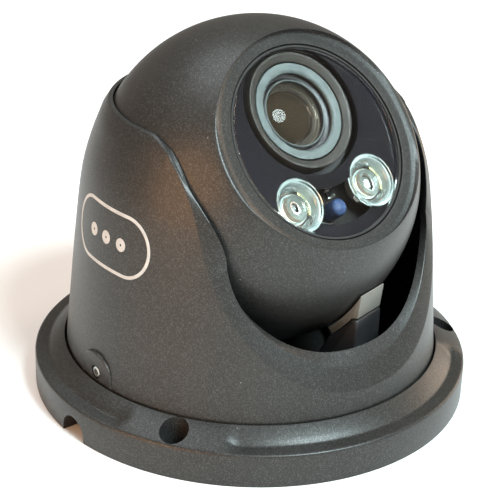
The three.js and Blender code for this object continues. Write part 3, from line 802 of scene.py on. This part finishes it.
def front_loop(angle):
    across = Vector(around(1, angle))
    edge_r, edge_w = BEZEL_R, BEZEL_W
    for _ in range(6):
        edge_w = BEZEL_W + BEZEL_SWEEP * (edge_r * across.y) ** 2
        edge_r = math.sqrt(BALL_R ** 2 - edge_w ** 2)
    start, end = math.degrees(math.asin(-26 / BALL_R)), math.degrees(math.asin(edge_w / BALL_R))
    profile = arc(BALL_R, 0, start, end, 40)
    profile[0] = (*profile[0][:2], 0.3)
    profile[-1] = (*profile[-1][:2], 0.55)
    profile += [(34.6, 35.05, 0.2), (33.2, 34.7, 0.2), (31.8, 34.6, 0), (30.2, 34.6, 0.25), (30.2, 30.5, 0.1),
                (28.8, 30.5, 0.1), (28.8, 28.2, 0.1)]
    profile += arc(BALL_IN, 0, 37.2, -27.6, 16) + [(31, -21.6, 0.2), (31, -26, 0.2)]
    return [(p.x * across.x, p.x * across.y, p.z) for p in rounded([(r, 0, z, c) for r, z, c in profile])]


front_ball = skinned("ball_front_casting", [front_loop(i * 2) for i in range(180)], ball_place, 24)
screw_spots = [around(SHELL_SCREW_CIRCLE, a) for a in (45, 135, 225, 315)]


def ball_post(radius, low, high, x, y, tip=0):
    lean = ball_place @ Matrix.Rotation(math.radians(tip), 4, "X") @ Matrix.Translation((x, y, 0))
    return rod(radius, low, high, lean)


carve(front_ball, *[ball_post(1.75, -27, -20, *spot) for spot in screw_spots], crease=24)
fitted(front_ball, powder_coat, "ball", "body_paint", "ball_front_shell")

# %% The rear shell with its screws, seal and cable gland
start = math.degrees(math.asin(-26.3 / BALL_R))
inner_start = -math.degrees(math.acos(31 / BALL_IN))
rear = (arc(BALL_IN, 0, -90, inner_start, 16)
        + [(31, -26.3, 0.2), (40, -26.3, 0), (40, -27.6, 0), (41.8, -27.6, 0), (41.8, -26.3, 0)]
        + arc(BALL_R, 0, start, -90, 30))
rear_ball = turned("ball_rear_casting", rear, ball_place, 180, 24)
GLAND_TIP = -24.6
carve(rear_ball, *[ball_post(1.8, -45, -20, *spot) for spot in screw_spots],
      *[ball_post(3.3, -60, -31, *spot) for spot in screw_spots],
      ball_post(6.3, -60, -40, 0, 0, GLAND_TIP), crease=24)
fitted(rear_ball, powder_coat, "ball", "body_paint", "ball_rear_shell")
flipped = ball_place @ Matrix.Translation((0, 0, -31.3)) @ Matrix.Rotation(math.pi, 4, "X")
shell_screws = stood_round("shell_screws", cross_screw(2.7, 1.7, 1.4, 8.8), 4, SHELL_SCREW_CIRCLE, 45,
                           bright_steel, flipped)
fitted(shell_screws, bright_steel, "ball", "steel_fixings", *[f"shell_screw_{i}" for i in (1, 2, 3, 4)])
seal = turned("shell_seal_ring", section(40.3, 41.5, -27.3, -26.3, [0.3] * 4), ball_place, 160)
fitted(seal, matt_rubber, "ball", "black_rubber", "shell_seal")
gland = turned("rear_gland_moulding", [(3.2, -49.6, 0.5), (6, -49.6, 0.3), (6, -45.2, 0), (8, -45.2, 0.3),
                                       (8, -43.6, 0.4), (3.2, -43.6, 0.4)],
               ball_place @ Matrix.Rotation(math.radians(GLAND_TIP), 4, "X"), 64)
fitted(gland, matt_rubber, "ball", "black_rubber", "rear_gland")

# %% [markdown]
# ## Behind the window
# A rubber ring holds the flat window. Behind it a glossy black mask hides the boards, with one round hole
# for the lens and one cut-out for the two lights and the light sensor, bounded by arcs above and below.

# %% Window, gasket and mask
gasket = turned("window_gasket_ring", section(29.15, 29.9, 32.5, 34.3, (0.1, 0.1, 0.3, 0.2)), ball_place, 160)
fitted(gasket, matt_rubber, "ball", "black_rubber", "window_gasket")
pane = turned("window_pane", section(0, 28.9, 32.6, 34.3, (0, 0.15, 0.25, 0)), ball_place, 160)
fitted(pane, window_glass, "ball", "clear_window", "front_glass")
LED_U, LED_V, LED_HOLE_R = 14.4, -15.7, 8.35
UPPER_ARC, LOWER_ARC = 24.3, 25.2
mask = turned("mask_moulding", section(0, 29.95, 30.8, 32.2, (0, 0.2, 0.2, 0)), ball_place, 160)
across = [LED_U * k / 12 for k in range(-12, 13)]
upper = [(u, LENS_V - math.sqrt(UPPER_ARC ** 2 - u ** 2)) for u in across]
lower = [(u, -math.sqrt(LOWER_ARC ** 2 - u ** 2)) for u in reversed(across)]
carve(mask, ball_post(20.1, 29, 34, 0, LENS_V), ball_post(LED_HOLE_R, 29, 34, LED_U, LED_V),
      ball_post(LED_HOLE_R, 29, 34, -LED_U, LED_V), raised("band", upper + lower, 29, 34, ball_place))
fitted(mask, gloss_black, "ball", "black_plastic", "mask_plate")
hood = turned("lens_hood_moulding", [(15.3, 21.4, 0.3), (17.9, 21.4, 0.3), (17.9, 32.3, 0.25),
                                     (17.2, 32.3, 0.3), (15.3, 31.1, 0.3)], lens_place)
fitted(hood, hood_rubber, "ball", "black_rubber", "lens_hood")
# A matt black foam shield round the hood that also stands in for the shade in the gap between hood and mask,
# where the grey board would show.
foam_and_shade_ring = turned("hood_foam_ring", section(18, 20, 25.05, 27.5, (0.2, 0.2, 0.3, 0.3)), lens_place)
fitted(foam_and_shade_ring, matt_rubber, "ball", "black_rubber")
board = turned("led_board_plate", section(0, 33, 23.4, 25, (0, 0.2, 0.2, 0)), ball_place)
carve(board, ball_post(18.5, 20, 27, 0, LENS_V))
fitted(board, solder_mask, "ball", "circuit_board", "led_board")

# %% [markdown]
# Each infrared light is a square chip under a clear moulded optic. The optic is a flared cup whose
# outside mirrors the light, with a dome in the middle, and it reads as a bright bowl. The bright cup
# is its own piece, a hair outside the clear one: a half-metal cup in a pale colour, partly a mirror and
# partly a painted reflection of that bright bowl.

# %% The two lights
flared_cup = [(0, 27.8, 0), (3.6, 27.8, 0.2), (3.6, 25.4, 0.2), (5, 25.4, 0.2), (6.6, 30.2, 0.5),
              (7.4, 31.0, 0.2), (8.1, 31.2, 0.2), (8.1, 32.2, 0.25), (7.3, 32.2, 0.2)]
bowl_and_dome = [(7.1, 31.6, 0), (6.6, 30.7, 0), (5.9, 30.0, 0), (5.0, 29.5, 0), (4.2, 29.4, 0.2),
                 (3.95, 30.1, 0), (3.5, 30.7, 0), (2.8, 31.15, 0), (1.9, 31.5, 0), (0.9, 31.7, 0),
                 (0, 31.75, 0)]
mirror_cup = [(3.9, 25.05, 0.1), (5.2, 25.05, 0.1), (7.0, 29.9, 0.3), (8.1, 30.9, 0.1), (8.1, 31.1, 0.05),
              (7.35, 31.12, 0.1), (6.75, 30.3, 0.3), (5.12, 25.35, 0.1), (3.9, 25.3, 0.1)]
for side, word in ((-1, "left"), (1, "right")):
    spot = ball_place @ Matrix.Translation((side * LED_U, LED_V, 0))
    optic = turned(f"optic_{word}", flared_cup + bowl_and_dome, spot, 96)
    fitted(optic, optic_acrylic, "ball", "clear_optic", f"led_optic_{word}")
    # The pale cup paints the reflection that the optic's mirroring outside gives.
    cup = turned(f"reflector_{word}", mirror_cup, spot, 96)
    fitted(cup, cup_with_painted_reflection, "ball", "led_phosphor")
    chip = raised(f"led_chip_{word}", [(-2.3, -2.3), (2.3, -2.3), (2.3, 2.3), (-2.3, 2.3)], 25.3, 26.1, spot)
    carve(chip, turned("bead", [(0, 25.9, 0), (1.7, 25.9, 0), (1.5, 26.5, 0.3), (0, 26.7, 0)], spot, 32),
          operation="UNION")
    fitted(chip, phosphor, "ball", "led_phosphor", f"led_{word}")
    tab_at = spot @ Matrix.Rotation(math.radians(204), 4, "Z")
    tab = raised(f"optic_tab_{word}", [(7.2, -1.1), (9.3, -0.9), (9.3, 0.9), (7.2, 1.1)], 31.0, 31.9, tab_at)
    softened(tab, 0.2)
    fitted(tab, optic_acrylic, "ball", "clear_optic")

# %% Light sensor, resistor and solder joints
sensor_at = ball_place @ Matrix.Translation((0, -19.7, 0))
sensor = turned("light_sensor_body", [(0, 25.3, 0), (2.6, 25.3, 0.2), (2.6, 30.8, 0.9), (0, 32.0, 0)],
                sensor_at, 64)
fitted(sensor, blue_sensor, "ball", "sensor_blue", "light_sensor")
resistor = raised("chip_resistor_body", [(1.3, -15.4), (2.7, -15.4), (2.7, -13.8), (1.3, -13.8)], 25.35, 26.1,
                  ball_place)
fitted(resistor, solder_mask, "ball", "circuit_board", "chip_resistor")
for i, v in enumerate((-16.0, -13.8)):
    cap = raised(f"resistor_end_{i + 1}", [(1.2, v), (2.8, v), (2.8, v + 0.6), (1.2, v + 0.6)], 25.3, 26.2,
                 ball_place)
    softened(cap, 0.15)
    fitted(cap, bright_steel, "ball", "steel_fixings")
joints = []
for u, v, r in ((-0.3, -23.0, 0.6), (4.2, -15.2, 0.7), (-4.9, -13.6, 0.6)):
    at = ball_place @ Matrix.Translation((u, v, 0))
    drop = [(0, 25.02, 0), (r, 25.02, 0), (r * 0.6, 25.5, 0.2), (0, 25.9, 0)]
    joints.append(turned("solder", drop, at, 24))
carve(joints[0], *joints[1:], operation="UNION")
joints[0].name = "solder_joints"
fitted(joints[0], bright_steel, "ball", "steel_fixings")
LEAD_R = 0.16
route = [Vector((-0.3, -23.0, 25.8)), Vector((-2.4, -22.8, 26.4)), Vector((-4.6, -21.9, 26.6)),
         Vector((-7.2, -20.6, 26.2))]
columns = []
for i, at in enumerate(route):
    along = (route[min(i + 1, 3)] - route[max(i - 1, 0)]).normalized()
    across = along.cross(Vector((0, 0, 1))).normalized()
    over = along.cross(across)
    columns.append([at + (across * math.cos(a) + over * math.sin(a)) * LEAD_R for a in
                    [math.tau * k / 10 for k in range(10)]])
lead = skinned("left_light_lead", columns, ball_place, round_trip=False)
fitted(lead, bright_steel, "ball", "steel_fixings")

# %% [markdown]
# ## The lens
# The varifocal lens is a fixed barrel with two knurled rings for zoom and focus, and a front cell that
# creeps in and out with focus. Only the front shows: a grey ring, a dark gap, a thin bright ring, which is a
# painted glint on a grey edge, and the dark, coated glass, whose inner element is opaque and painted dark
# with the shade inside the lens. The knurls are ribs stood round each ring by the tree from above.

# %% The front of the lens
front_ring = turned("lens_front_ring_trim", [(12, 29.6, 0.2), (14.9, 29.6, 0.2), (14.9, 31.2, 0.35),
                                             (12.6, 31.0, 0.3), (12, 30.5, 0.2)], lens_place)
fitted(front_ring, grey_trim, "lens_front", "lens_trim", "lens_front_ring")
inner_ring = turned("lens_inner_ring_trim", [(9.9, 28.3, 0.1), (10.7, 28.3, 0.1), (10.7, 28.7, 0.2),
                                             (10.25, 29.0, 0.1), (9.9, 28.9, 0.1)], lens_place)
fitted(inner_ring, satin_black, "lens_front", "lens_trim", "lens_inner_ring")
# A thin grey ring on the inner ring's edge: a painted glint, the highlight along the retaining ring's edge.
painted_glint_ring = turned("lens_bright_edge", section(10.0, 10.3, 28.8, 29.15, (0.05, 0.05, 0.1, 0.1)), lens_place)
fitted(painted_glint_ring, grey_trim, "lens_front", "lens_trim")
cell = turned("lens_front_cell_body", [(11, 22.3, 0.2), (14.6, 22.3, 0.3), (14.6, 29.3, 0.3), (13, 29.3, 0.1),
                                       (13, 28.6, 0.1), (11, 28.2, 0.1)], lens_place)
fitted(cell, satin_black, "lens_front", "black_plastic", "lens_front_cell")
dome = arc(17.6, 12.3, 57.7, 90, 10)
dome[-1] = (0, dome[-1][1], 0)
front_lens = turned("front_lens", [(0, 27.6, 0), (6, 27.2, 0), (10.4, 26.6, 0.2), (10.4, 27.0, 0.1)] + dome,
                    lens_place, 96)
fitted(front_lens, lens_glass, "lens_front", "coated_lens", "lens_front_element")
throat = turned("lens_throat", [(7.2, 24.5, 0.1), (10.6, 24.5, 0.1), (10.6, 26.4, 0.1), (9.2, 26.3, 0.1),
                                (8.6, 25.7, 0.1), (8.0, 25.6, 0.1), (7.2, 25.1, 0.1)], lens_place, 96)
fitted(throat, satin_black, "lens_front", "black_plastic")
# The second element is opaque and dark: painted shade, for the darkness seen through the front glass into the
# lens.
second = turned("second_lens", [(0, 24.5, 0), (7.0, 24.5, 0.1), (7.0, 24.8, 0.1), (5, 25.5, 0),
                                (2.5, 25.95, 0), (0, 26.1, 0)], lens_place, 96)
fitted(second, shaded_dark_lens, "lens_front", "coated_lens")

# %% The knurled rings


RIBS = 72


def rib(low, high, half=0.28):
    return raised("rib", [(-0.6, -half), (0.25, -half), (0.42, 0), (0.25, half), (-0.6, half)], low, high)


for name, radius, low, high in (("zoom_ring", 13.6, 3.3, 10.7), ("focus_ring", 14.0, 14.3, 20.9)):
    plain = turned(name + "_body", section(11, radius - 0.4, low, high, [0.2] * 4), lens_place, 96)
    fitted(plain, satin_black, name, "black_plastic", name)
    knurl = stood_round(name + "_knurl", rib(low + 0.8, high - 0.8), RIBS, radius - 0.42, 0, satin_black,
                        lens_place)
    fitted(knurl, satin_black, name, "black_plastic")

# %% [markdown]
# ## Print and boards
# The shroud's side carries a plain printed mark: a pale pill-shaped outline with three dots. It follows the
# wall. The boards, holder and barrel inside keep their CAD shapes and get their own finishes.

# %% The printed mark
MARK_TURN, MARK_Z, PILL_HALF, DOT_R = -90, 61, 9, 1.2
INK_T = 0.04


def on_wall(u, v, lift):
    z = MARK_Z + v
    r = wall_r(z) + lift
    return (*around(r, MARK_TURN + math.degrees(u / r)), z)


def stroke(name, centre, width=1.0):
    """A closed printed line along centre, a list of flat points."""
    columns = []
    n = len(centre)
    for i, (u, v) in enumerate(centre):
        (u0, v0), (u1, v1) = centre[i - 1], centre[(i + 1) % n]
        length = math.hypot(u1 - u0, v1 - v0)
        a, b = -(v1 - v0) / length * width / 2, (u1 - u0) / length * width / 2
        columns.append([on_wall(u + a, v + b, 0), on_wall(u + a, v + b, INK_T), on_wall(u - a, v - b, INK_T),
                        on_wall(u - a, v - b, 0)])
    return skinned(name, columns, shroud_turn)


pill = []
for side in (1, -1):
    pill += [(side * (PILL_HALF + r), side * z) for r, z, _ in arc(PILL_HALF, 0, -90, 90, 24)]
    pill += [(side * (PILL_HALF - k), side * PILL_HALF) for k in range(1, 2 * PILL_HALF)]
mark = stroke("printed_outline", pill)
fitted(mark, pale_ink, "shroud", "white_plastic")
for i, u in enumerate((-7, 0, 7)):
    dot = [(u + r, z) for r, z, _ in arc(DOT_R, 0, 0, 342, 19)]
    fitted(stroke(f"printed_dot_{i + 1}", dot, 1.6), pale_ink, "shroud", "white_plastic")

# %% Finishes for the parts that keep their CAD shape
inside = {
    satin_black: ("lens_barrel", "lens_holder"),
    bright_steel: ("zoom_lock_knob", "focus_lock_knob", *[f"board_pillar_{i}" for i in (1, 2, 3, 4)]),
    solder_mask: ("sensor_board", "power_board"),
    shaded_dark_lens: ("ir_cut_filter",),
    sensor_cover: ("image_sensor",),
    nylon: ("power_connector",),
}
for material, names in inside.items():
    for name in names:
        node = frame["nodes"][name]
        if not node.material_slots:
            node.data.materials.append(material)
        for held in node.material_slots:
            held.material = material
print("parts from CAD:", sum(len(names) for names in inside.values()))
